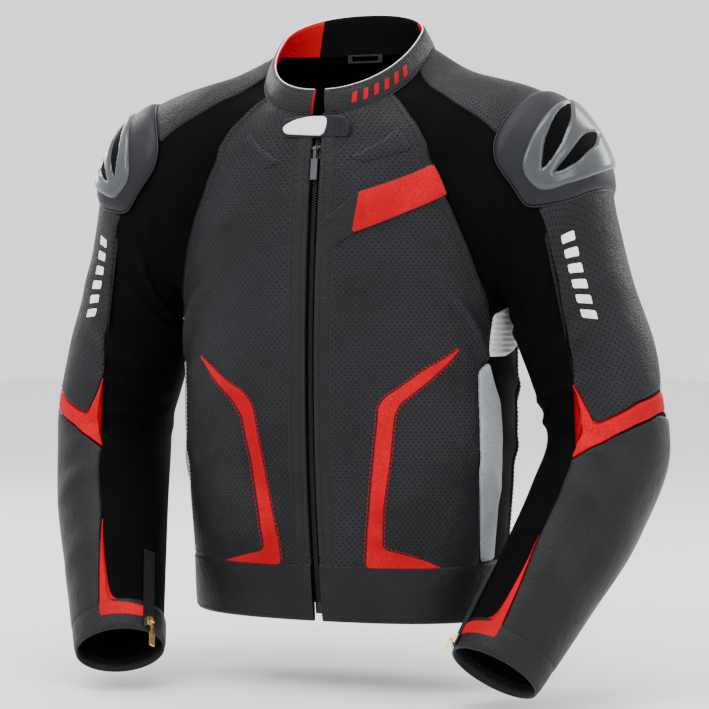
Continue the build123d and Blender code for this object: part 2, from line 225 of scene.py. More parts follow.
# soft folds of the body and of a sleeve: start, end, half width and height in millimetres
TORSO_FOLDS = [
    ((30, 0.60), (66, 0.47), 9, 2.2), ((20, 0.50), (62, 0.40), 10, 1.6), ((48, 0.55), (78, 0.40), 7, 1.8),
    ((14, 0.30), (60, 0.24), 11, 1.5), ((55, 0.30), (85, 0.20), 9, 1.6), ((24, 0.70), (50, 0.60), 10, 1.6),
    ((10, 0.15), (50, 0.12), 9, 1.4), ((88, 0.44), (120, 0.34), 9, 2.0), ((84, 0.30), (118, 0.26), 9, 1.7),
    ((118, 0.62), (150, 0.52), 11, 2.0), ((128, 0.40), (172, 0.36), 12, 1.8),
    ((120, 0.2), (165, 0.17), 11, 1.6),
]
SLEEVE_FOLDS = [
    ((70, 0.50), (150, 0.56), 8, 3.0), ((84, 0.58), (165, 0.60), 7, 3.2),
    ((100, 0.66), (178, 0.64), 7, 3.2), ((70, 0.72), (150, 0.69), 8, 2.2),
    ((100, 0.40), (172, 0.46), 9, 2.4), ((95, 0.26), (165, 0.36), 10, 2.4),
    ((90, 0.14), (120, 0.30), 9, 2.0), ((30, 0.80), (100, 0.78), 10, 1.6),
    ((20, 0.90), (96, 0.87), 10, 1.3), ((10, 0.46), (70, 0.45), 12, 1.0),
    ((-60, 0.62), (-160, 0.66), 9, 2.2), ((-50, 0.5), (-150, 0.52), 9, 1.8),
    ((-60, 0.30), (-150, 0.34), 11, 1.8), ((-40, 0.84), (-140, 0.82), 10, 1.5),
]


def relief(a, b, folds, scale):
    """Height of the soft folds at chart points, in millimetres."""
    out = np.zeros(len(a))
    for start, end, width, height in folds:
        out += fold(a, b, start, end, width, scale) * height * FOLD_GAIN
        shift = np.array((0, -HOLLOW_SHIFT * width / scale[1]))
        hollow = fold(a, b, np.array(start) + shift, np.array(end) + shift, width, scale)
        out -= hollow * height * HOLLOW_GAIN
    return out


def skin(form, a, b):
    """Points and outward normals of a form."""
    p = form(a, b)
    across = form(a + 0.2, b) - form(a - 0.2, b)
    along = form(a, np.clip(b + 0.001, 0, 1)) - form(a, np.clip(b - 0.001, 0, 1))
    return p, unit(np.cross(across, along))


def torso_at(a, b, lift):
    """Torso point lifted off the surface, with its folds."""
    p, n = skin(torso_form, a, b)
    wide = np.mod(np.abs(a), 360)
    wide = np.where(wide > 180, 360 - wide, wide)
    return p + n * (lift + relief(wide, b, TORSO_FOLDS, TORSO_SCALE) * fade(b, 0.0, 0.12))[:, None]


def sleeve_at(a, b, lift):
    """Sleeve point lifted off the surface, with its folds."""
    p, n = skin(sleeve_form, a, b)
    turn = np.mod(a + 180, 360) - 180
    height = relief(turn, b, SLEEVE_FOLDS, SLEEVE_SCALE) * fade(b, 0.02, 0.12) * fade(1 - b, 0.02, 0.12)
    return p + n * (lift + height)[:, None]


def collar_at(a, b, lift):
    """Collar point lifted off the surface."""
    p, n = skin(collar_form, a, b)
    return p + n * np.broadcast_to(lift, len(a))[:, None]


def line_at(at, a, b, lift):
    """Points along a chart line; the turn or the station may be one number."""
    a, b = np.broadcast_arrays(np.asarray(a, float), np.asarray(b, float))
    return at(a, b, lift)


# ---- meshes ----

def new_mesh(name, points, faces, side=1, uv=None, smooth=True):
    """Mesh object from millimetre points; side -1 mirrors it to the wearer's right."""
    points = np.asarray(points, float) * MM
    if side < 0:
        points = points * (-1, 1, 1)
        faces = [tuple(reversed(f)) for f in faces]
    mesh = bpy.data.meshes.new(name)
    mesh.from_pydata(points.tolist(), [], [tuple(int(i) for i in f) for f in faces])
    if uv is not None:
        layer = mesh.uv_layers.new(name="UVMap")
        index = np.empty(len(mesh.loops), int)
        mesh.loops.foreach_get("vertex_index", index)
        layer.data.foreach_set("uv", (np.asarray(uv, float)[index] * MM).ravel())
    mesh.polygons.foreach_set("use_smooth", [smooth] * len(mesh.polygons))
    mesh.validate()
    obj = bpy.data.objects.new(name, mesh)
    bpy.context.scene.collection.objects.link(obj)
    return obj


def grid_faces(rows, cols, closed=False):
    """Quads of a grid whose points run along the columns first."""
    faces = []
    for i in range(rows - 1):
        for j in range(cols if closed else cols - 1):
            k = (j + 1) % cols
            faces.append((i * cols + j, i * cols + k, (i + 1) * cols + k, (i + 1) * cols + j))
    return faces


def sweep(name, at, turns, profile, side=1, closed=False):
    """Surface over the turns, with one row for each (station, lift) of the profile."""
    points, uv = [], []
    for station, lift in profile:
        points.append(line_at(at, turns, station, lift))
        uv.append(np.stack([points[-1][:, 0], points[-1][:, 2] + points[-1][:, 1]], 1))
    faces = grid_faces(len(profile), len(turns), closed)
    return new_mesh(name, np.concatenate(points), faces, side, np.concatenate(uv))


def resample(path, spacing, closed):
    """Evenly spaced points along a polyline."""
    path = np.asarray(path, float)
    if closed:
        path = np.vstack([path, path[:1]])
    out = []
    for p, q in zip(path[:-1], path[1:]):
        count = max(1, round(np.linalg.norm(q - p) / spacing))
        for k in range(count):
            out.append(p + (q - p) * k / count)
    if not closed:
        out.append(path[-1])
    return np.array(out)


def soften(path, times, closed=True, reach=3.0):
    """Round the corners of a polyline by cutting at most reach millimetres off each."""
    path = np.asarray(path, float)
    for _ in range(times):
        nxt = np.roll(path, -1, 0)
        if not closed:
            nxt = path[1:]
            path = path[:-1]
        run = np.linalg.norm(nxt - path, axis=1)[:, None]
        cut = np.minimum(0.25, reach / np.maximum(run, 1e-6))
        path = np.stack([path + (nxt - path) * cut, nxt - (nxt - path) * cut], 1).reshape(-1, 2)
        reach *= 0.4
    return path


def inside(points, loop):
    """Which points lie inside a closed loop."""
    result = np.zeros(len(points), bool)
    for p, q in zip(loop, np.roll(loop, -1, 0)):
        crosses = (p[1] > points[:, 1]) != (q[1] > points[:, 1])
        run = q[1] - p[1] if q[1] != p[1] else 1e-9
        x = p[0] + (points[:, 1] - p[1]) / run * (q[0] - p[0])
        result ^= crosses & (points[:, 0] < x)
    return result


def gap_to(points, loop, closed=True):
    """Distance from each point to a line of points."""
    best = np.full(len(points), 1e9)
    ends = np.roll(loop, -1, 0) if closed else loop[1:]
    for p, q in zip(loop, ends):
        d = q - p
        s = np.clip(((points - p) @ d) / max(d @ d, 1e-9), 0, 1)
        best = np.minimum(best, np.linalg.norm(points - p - s[:, None] * d, axis=1))
    return best


def panel(name, at, outline, scale, lift, rise, side=1, edge=4.0, spacing=5.0, rounding=1, reach=3.0,
          shape=None, sink=1.2, spread=None):
    """Raised panel over a chart outline, with a rolled edge that sinks under the surface around it.

    Lift, rise, edge, spacing, reach and sink are in millimetres. Shape adds height, and spread gives UVs.
    """
    loop = soften(np.asarray(outline, float) * scale, rounding, reach=reach)
    loop = resample(loop, spacing * 0.6, True)
    low, high = loop.min(0), loop.max(0)
    xs = np.arange(low[0], high[0], spacing)
    ys = np.arange(low[1], high[1], spacing * 0.87)
    gx, gy = np.meshgrid(xs, ys)
    gx = gx + (np.arange(len(ys)) % 2)[:, None] * spacing / 2
    grid = np.stack([gx.ravel(), gy.ravel()], 1)
    grid = grid[inside(grid, loop)]
    grid = grid[gap_to(grid, loop) > edge + spacing * 0.3]
    rings = []
    tangent = np.roll(loop, -1, 0) - np.roll(loop, 1, 0)
    normal = left_of(tangent)
    area = np.sum(loop[:, 0] * np.roll(loop[:, 1], -1) - loop[:, 1] * np.roll(loop[:, 0], -1))
    normal = normal if area > 0 else -normal
    for share in (0.12, 0.45, 1.0):
        ring = loop + normal * edge * share
        ring = ring[inside(ring, loop)]
        rings.append(ring[gap_to(ring, loop) > edge * share * 0.9])
    flat = np.vstack([loop] + rings + [grid])
    edges = [(i, (i + 1) % len(loop)) for i in range(len(loop))]
    verts, _, faces, *_ = delaunay_2d_cdt([Vector(p) for p in flat], edges, [], 1, 1e-4, False)
    flat = np.array([tuple(v) for v in verts])
    gap = gap_to(flat, loop)
    curve = np.clip(gap / edge, 0, 1)
    height = lift + rise * np.sqrt(np.maximum(1 - (1 - curve) ** 2, 0))
    height = np.where(gap < 0.05, lift - sink, height)
    if shape:
        height = height + shape(flat[:, 0] / scale[0], flat[:, 1] / scale[1], gap)
    points = at(flat[:, 0] / scale[0], flat[:, 1] / scale[1], height)
    return new_mesh(name, points, faces, side, spread(points) if spread else flat)


def ribbon(path, near, far, scale):
    """Chart outline of a band beside a path, from near to far millimetres to its left."""
    line = soften(np.asarray(path, float) * scale, 2, False)
    left = left_of(np.gradient(line, axis=0))
    return np.vstack([line + left * near, (line + left * far)[::-1]]) / scale


def front_spread(points):
    """Flat places for the holes of the chest: across and round the side, and up."""
    return np.stack([points[:, 0] + 0.8 * (points[:, 1] + 150), points[:, 2]], 1)


def shoulder_spread(points):
    """Flat places for the holes over a shoulder: across, and up the front then over the top."""
    return np.stack([points[:, 0], points[:, 1] + points[:, 2]], 1)


def stitch_rows(name, at, scale, paths, side=1, pitch=4.6, length=3.4, thick=0.42):
    """One mesh of separate stitches along chart paths: (path, offset in mm, lift)."""
    points, faces = [], []
    for path, offset, lift in paths:
        line = resample(soften(np.asarray(path, float) * scale, 2, False), 1.5, False)
        flat = (line + left_of(np.gradient(line, axis=0)) * offset) / scale
        low = at(flat[:, 0], flat[:, 1], lift)
        top = at(flat[:, 0], flat[:, 1], lift + 1.0)
        run = np.concatenate([[0], np.cumsum(np.linalg.norm(np.diff(low, axis=0), axis=1))])
        for s in np.arange(pitch / 2, run[-1] - length, pitch):
            where = [np.array([np.interp(x, run, low[:, k]) for k in range(3)]) for x in (s, s + length)]
            up = np.array([np.interp(s, run, (top - low)[:, k]) for k in range(3)])
            along = where[1] - where[0]
            across = np.cross(along, up)
            across /= max(np.linalg.norm(across), 1e-9)
            base = len(points)
            points.append(where[0] - up * thick)
            for f in (0.2, 0.8):
                mid = where[0] + along * f
                points.extend(mid + d * thick for d in (up, across, -up, -across))
            points.append(where[1] - up * thick)
            for k in range(4):
                m = (k + 1) % 4
                faces.append((base, base + 1 + m, base + 1 + k))
                faces.append((base + 1 + k, base + 1 + m, base + 5 + m, base + 5 + k))
                faces.append((base + 9, base + 5 + k, base + 5 + m))
    return new_mesh(name, points, faces, side)


def tube_along(name, points, radius, side=1, sides=8, closed=False):
    """Round cord of a given radius along millimetre points."""
    points = np.asarray(points, float)
    if closed:
        tangent = np.roll(points, -1, 0) - np.roll(points, 1, 0)
    else:
        tangent = np.gradient(points, axis=0)
    tangent = unit(tangent)
    a = unit(np.cross(tangent, (0.13, 0.21, 0.97)))
    b = np.cross(tangent, a)
    ring = []
    for k in range(sides):
        turn = 2 * math.pi * k / sides
        ring.append(points + (a * math.cos(turn) + b * math.sin(turn)) * radius)
    cloud = np.stack(ring, 1).reshape(-1, 3)
    faces = grid_faces(len(points), sides, True)
    if closed:
        last = (len(points) - 1) * sides
        faces += [(last + k, last + (k + 1) % sides, (k + 1) % sides, k) for k in range(sides)]
    return new_mesh(name, cloud, faces, side)


def bricks(name, centres, size, ups, side=1):
    """One mesh of small bevelled blocks; each is (centre, x direction) with its face towards up."""
    points, faces = [], []
    for (centre, along), up in zip(centres, ups):
        along = np.asarray(along, float) / np.linalg.norm(along)
        up = np.asarray(up, float) / np.linalg.norm(up)
        across = np.cross(up, along)
        base = len(points)
        for depth, grow in ((-0.5, 1.0), (0.25, 1.0), (0.5, 0.72)):
            for sx, sy in ((-1, -1), (1, -1), (1, 1), (-1, 1)):
                points.append(np.asarray(centre) + along * sx * size[0] / 2 * grow
                              + across * sy * size[1] / 2 * grow + up * depth * size[2])
        for r in (0, 4):
            for k in range(4):
                m = (k + 1) % 4
                faces.append((base + r + k, base + r + m, base + r + 4 + m, base + r + 4 + k))
        faces.append((base + 8, base + 9, base + 10, base + 11))
        faces.append((base + 3, base + 2, base + 1, base))
    return new_mesh(name, points, faces, side, smooth=False)


# ---- materials ----

class Shader:
    """A material and short ways to add its nodes."""

    def __init__(self, name, colour, rough, metal=0.0, coat=0.0, specular=0.5):
        self.mat = bpy.data.materials.new(name)
        self.mat.use_nodes = True
        self.mat.diffuse_color = (*colour, 1)
        self.tree = self.mat.node_tree
        self.bsdf = self.tree.nodes["Principled BSDF"]
        self.bsdf.inputs["Base Color"].default_value = (*colour, 1)
        self.bsdf.inputs["Roughness"].default_value = rough
        self.bsdf.inputs["Metallic"].default_value = metal
        self.bsdf.inputs["Coat Weight"].default_value = coat
        self.bsdf.inputs["Coat Roughness"].default_value = 0.12
        self.bsdf.inputs["Specular IOR Level"].default_value = specular
        self.normal = None

    def add(self, kind, **values):
        """New node with the given properties."""
        node = self.tree.nodes.new(kind)
        for key, value in values.items():
            setattr(node, key, value)
        return node

    def link(self, source, target):
        self.tree.links.new(source, target)

    def place(self, uv=False):
        """Coordinates in metres."""
        node = self.add("ShaderNodeTexCoord")
        return node.outputs["UV" if uv else "Object"]

    def noise(self, scale, detail=3.0):
        node = self.add("ShaderNodeTexNoise")
        node.inputs["Scale"].default_value = scale
        node.inputs["Detail"].default_value = detail
        self.link(self.place(), node.inputs["Vector"])
        return node.outputs["Fac"]

    def cells(self, scale):
        node = self.add("ShaderNodeTexVoronoi", feature="F1")
        node.inputs["Scale"].default_value = scale
        self.link(self.place(), node.inputs["Vector"])
        return node.outputs["Distance"]

    def math(self, operation, a, b=None):
        node = self.add("ShaderNodeMath", operation=operation)
        for socket, value in zip(node.inputs, (a, b)):
            if value is None:
                continue
            if isinstance(value, (int, float)):
                socket.default_value = value
            else:
                self.link(value, socket)
        return node.outputs[0]

    def ramp(self, fac, low, high, low_value=0.0, high_value=1.0):
        """Maps low..high of a socket onto low_value..high_value."""
        node = self.add("ShaderNodeMapRange")
        limits = {"From Min": low, "From Max": high, "To Min": low_value, "To Max": high_value}
        for key, value in limits.items():
            node.inputs[key].default_value = value
        self.link(fac, node.inputs["Value"])
        return node.outputs["Result"]

    def mix(self, fac, first, second):
        """Colour from first to second; either may be a colour or a socket."""
        node = self.add("ShaderNodeMix", data_type="RGBA")
        self.link(fac, node.inputs["Factor"])
        for socket, value in ((node.inputs[6], first), (node.inputs[7], second)):
            if isinstance(value, tuple):
                socket.default_value = (*value, 1)
            else:
                self.link(value, socket)
        return node.outputs[2]

    def raise_by(self, height, distance):
        """Adds a bump layer; distance in metres."""
        node = self.add("ShaderNodeBump")
        node.inputs["Strength"].default_value = 1.0
        node.inputs["Distance"].default_value = distance
        self.link(height, node.inputs["Height"])
        if self.normal is not None:
            self.link(self.normal, node.inputs["Normal"])
        self.normal = node.outputs["Normal"]

    def done(self, colour, rough=None):
        """Links the finished sockets to the shader."""
        self.link(colour, self.bsdf.inputs["Base Color"])
        if rough is not None:
            self.link(rough, self.bsdf.inputs["Roughness"])
        if self.normal is not None:
            self.link(self.normal, self.bsdf.inputs["Normal"])
        return self.mat


def tint(colour, factor):
    """Lighter or darker version of a colour."""
    return tuple(min(1.0, c * factor) for c in colour)


def dots(s, pitch, radius):
    """Mask of staggered round holes over the UV map, 1 inside a hole."""
    scaled = s.add("ShaderNodeVectorMath", operation="SCALE")
    scaled.inputs["Scale"].default_value = 1 / pitch
    s.link(s.place(True), scaled.inputs[0])
    nearest = None
    for shift in (0.0, 0.5):
        moved = s.add("ShaderNodeVectorMath", operation="ADD")
        moved.inputs[1].default_value = (shift, shift, 0)
        s.link(scaled.outputs[0], moved.inputs[0])
        part = s.add("ShaderNodeVectorMath", operation="FRACTION")
        s.link(moved.outputs[0], part.inputs[0])
        centred = s.add("ShaderNodeVectorMath", operation="SUBTRACT")
        centred.inputs[1].default_value = (0.5, 0.5, 0)
        s.link(part.outputs[0], centred.inputs[0])
        length = s.add("ShaderNodeVectorMath", operation="LENGTH")
        s.link(centred.outputs[0], length.inputs[0])
        value = length.outputs["Value"]
        nearest = value if nearest is None else s.math("MINIMUM", nearest, value)
    return s.ramp(nearest, radius / pitch, radius / pitch * 0.6)


def leather(name, colour, rough=0.42, grain=0.00022, holes=False, gloss=0.5, light=1.9):
    """Grained leather: creased cells, cloudy colour, raised edges paler with wear and painted highlight and,
    if asked, punched holes darkened with painted shade.
    """
    s = Shader(name, colour, rough, specular=gloss)
    cloud = s.noise(14.0, 4.0)
    fine = s.noise(900.0, 3.0)
    cell = s.cells(520.0)
    base = s.mix(s.ramp(cloud, 0.35, 0.7), tint(colour, 0.78), tint(colour, 1.28))
    base = s.mix(s.ramp(cell, 0.05, 0.6), tint(colour, 0.7), base)
    # sharp raised edges are painted paler: partly wear, partly painted highlight
    edge_wear_and_highlight = s.add("ShaderNodeNewGeometry").outputs["Pointiness"]
    base = s.mix(s.ramp(edge_wear_and_highlight, 0.51, 0.60), base, tint(colour, light))
    s.raise_by(s.noise(70.0, 2.0), 0.0011)
    s.raise_by(cell, grain)
    s.raise_by(fine, grain * 0.5)
    shine = s.ramp(cloud, 0.3, 0.75, rough + 0.10, rough - 0.06)
    if holes:
        hole = dots(s, HOLE_PITCH, HOLE_RADIUS)
        # the holes are painted near black, for the dark cloth behind them and the painted shade inside them
        base = s.mix(hole, base, (0.0004, 0.0004, 0.0004))
        s.raise_by(s.math("SUBTRACT", 1.0, hole), 0.0009)
    return s.done(base, shine)


def knit(name, colour, rough=0.85, pitch=0.0011, gloss=0.05):
    """Stretch cloth: fine crossed ribs, nearly without shine."""
    s = Shader(name, colour, rough, specular=gloss)
    split = s.add("ShaderNodeSeparateXYZ")
    s.link(s.place(True), split.inputs[0])
    rib = s.math("SINE", s.math("MULTIPLY", split.outputs["X"], 2 * math.pi / pitch))
    cross = s.math("SINE", s.math("MULTIPLY", split.outputs["Y"], 2 * math.pi / pitch * 0.7))
    weave = s.ramp(s.math("MULTIPLY", rib, cross), -1, 1)
    cloud = s.ramp(s.noise(22.0, 3.0), 0.3, 0.7)
    base = s.mix(weave, tint(colour, 0.6), tint(colour, 1.5))
    base = s.mix(cloud, base, tint(colour, 1.2))
    s.raise_by(weave, 0.0002)
    s.raise_by(s.noise(600.0), 0.00015)
    return s.done(base, s.ramp(cloud, 0, 1, rough - 0.08, min(1.0, rough + 0.08)))


def moulded(name, colour, rough, coat=0.0, metal=0.0, grain=0.00008, gloss=0.5):
    """Moulded plastic, rubber or cast metal with a fine skin and edges paler with scuffs and painted
    highlight.
    """
    s = Shader(name, colour, rough, metal=metal, coat=coat, specular=gloss)
    cloud = s.noise(30.0, 4.0)
    scratch = s.noise(380.0, 6.0)
    base = s.mix(s.ramp(cloud, 0.3, 0.7), tint(colour, 0.82), tint(colour, 1.18))
    # sharp edges are painted paler: partly scuffs, partly painted highlight
    edge_wear_and_highlight = s.add("ShaderNodeNewGeometry").outputs["Pointiness"]
    base = s.mix(s.ramp(edge_wear_and_highlight, 0.52, 0.62), base, tint(colour, 1.7))
    s.raise_by(scratch, grain)
    return s.done(base, s.ramp(scratch, 0.3, 0.75, max(0.05, rough - 0.07), rough + 0.1))


BLACK = (0.0060, 0.0064, 0.0077)
PERFORATED = (0.0096, 0.0101, 0.0120)
RED = (0.42, 0.0001, 0.0075)
SILVER = (0.27, 0.29, 0.32)
MATERIALS = {
    "leather_perforated": leather("leather_perforated", PERFORATED, 0.48, 0.0004, holes=True, gloss=0.15),
    "leather_black": leather("leather_black", BLACK, 0.43, 0.0004, gloss=0.18),
    "stretch_fabric": knit("stretch_fabric", (0.0011, 0.0012, 0.0014)),
    "leather_red": leather("leather_red", RED, 0.45, 0.00015, gloss=0.04, light=1.1),
    "leather_white": leather("leather_white", (0.62, 0.63, 0.65), 0.36, 0.0004, light=1.1),
    "leather_silver": leather("leather_silver", SILVER, 0.34, 0.0008, gloss=0.5, light=1.2),
    "lining_fabric": knit("lining_fabric", (0.0025, 0.0025, 0.003), 0.9, 0.0016),
    "lining_red": knit("lining_red", (0.42, 0.0001, 0.0070), 0.8, 0.0013),
    "protector_foam": moulded("protector_foam", (0.05, 0.05, 0.055), 0.8, grain=0.0005),
    "zip_black": moulded("zip_black", (0.004, 0.004, 0.0045), 0.42, gloss=0.3),
    "metal_dark": moulded("metal_dark", (0.045, 0.045, 0.048), 0.38, metal=1.0),
    "metal_gold": moulded("metal_gold", (0.62, 0.45, 0.16), 0.3, metal=1.0),
    "rubber_black": moulded("rubber_black", (0.0080, 0.0080, 0.0120), 0.5, grain=0.00012, gloss=0.2),
    "badge_white": moulded("badge_white", (0.82, 0.82, 0.84), 0.3, coat=0.3),
    "cup_grey": moulded("cup_grey", (0.034, 0.039, 0.045), 0.22, coat=0.1, gloss=0.4),
}


def dress(obj, slot, nodes=()):
    """Gives a piece its material and hides the model's nodes that it stands for."""
    obj.data.materials.clear()
    obj.data.materials.append(MATERIALS[slot])
    if nodes:
        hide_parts(*nodes)


# ---- what each piece rides on ----

def on_torso(obj, slot, *nodes):
    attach(obj, "torso")
    dress(obj, slot, nodes)


def on_tab(obj, slot, *nodes):
    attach(obj, "collar_tab")
    dress(obj, slot, nodes)


def bend(obj):
    """Bakes the transform of a piece of the wearer's left or right sleeve into its mesh."""
    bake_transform(obj)


def on_sleeve(obj, slot, name, side, *nodes):
    """Cloth above the elbow, which meets the torso at the raglan seam."""
    bend(obj)
    dress(obj, slot, nodes)


def on_elbow(obj, slot, name, side, *nodes):
    """Cloth over or below the elbow."""
    bend(obj)
    dress(obj, slot, nodes)


def torso_panel(piece, slot, node, outline, lift, rise, name="", side=1, **more):
    """Panel of the body. The side's name completes the piece's name and that of the node it stands for."""
    obj = panel(piece + name, torso_at, outline, TORSO_SCALE, lift, rise, side, **more)
    on_torso(obj, slot, *([node + name] if node else []))
    return obj


def sleeve_panel(ride, piece, slot, node, outline, lift, rise, name, side, **more):
    """Panel of a sleeve, which rides across the shoulder or across the elbow."""
    obj = panel(piece + name, sleeve_at, outline, SLEEVE_SCALE, lift, rise, side, **more)
    ride(obj, slot, name, side, *([node + name] if node else []))


# ---- outlines ----

# torso outlines in turn and station, for the wearer's left
SEAM = [(49.5, 1.0), (40, 0.92), (36.5, 0.86), (35.5, 0.80), (40.5, 0.73), (49.5, 0.655), (60, 0.583),
        (68, 0.535)]
FRONT = ([(1.6, 1.0), (25, 1.0)] + SEAM
         + [(70.5, 0.50), (69, 0.44), (62, 0.42), (63.5, 0.25), (65.5, 0.20), (67.5, HEM_V - 0.003),
            (35, HEM_V - 0.003), (0.7, HEM_V - 0.003), (0.68, 0.45), (0.7, 0.85), (1.1, 0.95)])
BACK_UPPER = [(180.6, 0.995), (131, 0.995), (141, 0.90), (143.5, 0.815), (138, 0.735), (130, 0.665),
              (180.6, 0.665)]
BACK_LOWER = [(180.6, 0.585), (122, 0.585), (110, 0.50), (104, 0.38), (102, 0.24), (104, HEM_V - 0.003),
              (180.6, HEM_V - 0.003)]
BAND = [(0.8, 0.674), (11, 0.736), (37, 0.79), (42.6, 0.722), (9.5, 0.648), (0.8, 0.606)]
FLASH = [(11.3, 0.733), (36.8, 0.786), (42.2, 0.722), (9.8, 0.651)]
STRIPES = {
    "left": [(53.5, 0.464), (36.5, 0.424), (22, 0.372), (19.6, 0.354), (19.2, 0.322), (17.6, 0.25),
             (15.2, 0.12), (14.6, 0.088), (46.5, 0.088), (37.5, 0.102), (21, 0.12), (21.5, 0.188),
             (24, 0.27), (25.2, 0.335), (27.5, 0.36), (40.5, 0.41), (51, 0.452)],
    "right": [(44, 0.45), (29, 0.402), (20.5, 0.378), (16.8, 0.352), (14.5, 0.29), (12, 0.208),
              (9.6, 0.124), (9.2, 0.088), (36, 0.088), (16, 0.110), (15.2, 0.122), (17, 0.218),
              (18.8, 0.285), (21.4, 0.335), (26, 0.365), (39, 0.418)],
}
CHEVRONS = {
    "left": [(7.5, 0.818), (12, 0.800), (30, 0.826), (30, 0.905)],
    "right": [(26, 0.902), (26, 0.86), (13, 0.786), (8, 0.808)],
}
ACCORDION = [(106, 0.545), (73, 0.512), (70, 0.446), (84, 0.446), (106, 0.470)]
SIDE_STRIP = [(69.5, 0.438), (63, 0.418), (65, 0.25), (67, 0.19), (69, HEM_V + 0.004), (80, HEM_V + 0.004),
              (83, 0.25), (79, 0.36), (74, 0.40)]

# sleeve outlines in turn and station
YOKE = [(14, 0.003), (30, 0.045), (46.5, 0.092), (57, 0.15), (59, 0.162), (35, 0.186), (1, 0.21),
        (-40, 0.20), (-62, 0.16), (-60, 0.10), (-45, 0.05), (-14, 0.003)]
CUP_BASE = [(-40, 0.232), (1, 0.207), (35, 0.184), (59, 0.162), (69, 0.160), (76.5, 0.172), (85, 0.25),
            (84, 0.272), (76, 0.298), (56, 0.336), (20, 0.356), (-14, 0.360), (-48, 0.35), (-52, 0.29)]
CUP_SHELL = [(72.5, 0.225), (75, 0.27), (68, 0.296), (43, 0.327), (18, 0.338), (-8, 0.335), (-34, 0.322),
             (-38, 0.285), (-24, 0.252), (26, 0.236), (56, 0.226)]
CUP_SLOTS = [[(67, 0.268), (52, 0.250), (30, 0.244), (4, 0.248), (22, 0.268), (44, 0.278), (58, 0.276)],
             [(63, 0.283), (44, 0.288), (22, 0.286), (-6, 0.292), (16, 0.308), (40, 0.308), (54, 0.298)]]
STRIP = [(79, 0.29), (80.5, 0.362), (80.5, 0.417), (86.5, 0.508), (95, 0.578), (92.6, 0.620), (87, 0.665),
         (67, 0.648), (42.5, 0.626), (4, 0.608), (-14, 0.572), (-52, 0.585), (-56, 0.345), (-14, 0.352),
         (20, 0.350), (56, 0.328)]
ELBOW_FLASH = [(95.8, 0.578), (101.5, 0.742), (86.5, 0.714), (70, 0.684), (48, 0.661), (17.5, 0.640),
               (3, 0.636), (3, 0.611), (42.5, 0.629), (67, 0.651), (87, 0.669), (93, 0.623)]
ELBOW_PATCH = [(2.5, 0.609), (-14, 0.575), (-44, 0.585), (-48, 0.640), (-10, 0.640), (2.5, 0.635)]
FOREARM = [(101.5, 0.745), (98.5, 0.755), (95.8, 0.80), (95, 0.85), (88.5, 0.915), (84, 0.968),
           (-66, 0.968), (-72, 0.80), (-70, 0.645), (-48, 0.643), (-10, 0.643), (17.5, 0.643), (48, 0.664),
           (70, 0.687), (86.5, 0.717)]
CUFF_FLASH = [(96.3, 0.850), (94, 0.88), (95.5, 0.955), (99.5, 0.965), (150, 0.970), (150, 0.985),
              (84, 0.982), (89, 0.915)]


# ---- torso ----

def steps(first, last, size):
    return np.linspace(first, last, max(2, int(abs(last - first) / size)))


def torso_shell():
    """The stretch body under the panels, and its lining."""
    turns = np.concatenate([steps(1.0, 30, 1.5), steps(31, 329, 2.0), steps(330, 359.0, 1.5)])
    base = sweep("stretch_body", torso_at, turns, [(v, 0.0) for v in steps(0.03, 1.0, 0.009)])
    on_torso(base, "stretch_fabric", "side_panel_left", "side_panel_right", "shoulder_yoke_left",
             "shoulder_yoke_right")
    inner = np.linspace(4.0, 356.0, 150)
    lining = sweep("body_lining", torso_at, inner, [(v, -5.0) for v in steps(1.0, 0.03, 0.014)])
    on_torso(lining, "lining_fabric", "torso_lining")


def hem():
    """Leather hem band, rolled under at the bottom edge."""
    profile = [(HEM_V + 0.003, 0.8), (HEM_V, 2.6), (HEM_V - 0.006, 3.5), (0.055, 4.0), (0.03, 4.2),
               (0.012, 4.1), (0.004, 3.4), (0.0, 2.0), (0.0, 0.2), (0.004, -1.2), (0.02, -2.4), (0.05, -3.4),
               (0.08, -4.4)]
    for name, side in SIDES:
        band = sweep("hem_front_" + name, torso_at, steps(0.75, 90, 1.2), profile, side)
        on_torso(band, "leather_black", "hem_band_" + name)
    band = sweep("hem_rear", torso_at, steps(90, 270, 1.6), profile)
    on_torso(band, "leather_black", "hem_band_back")


def pleats(_, b, gap):
    """Height of the ribs of a gathered stretch panel."""
    return np.clip(gap / 4.0, 0, 1) * 1.3 * np.sin(2 * math.pi * b * 600 / 5.2)


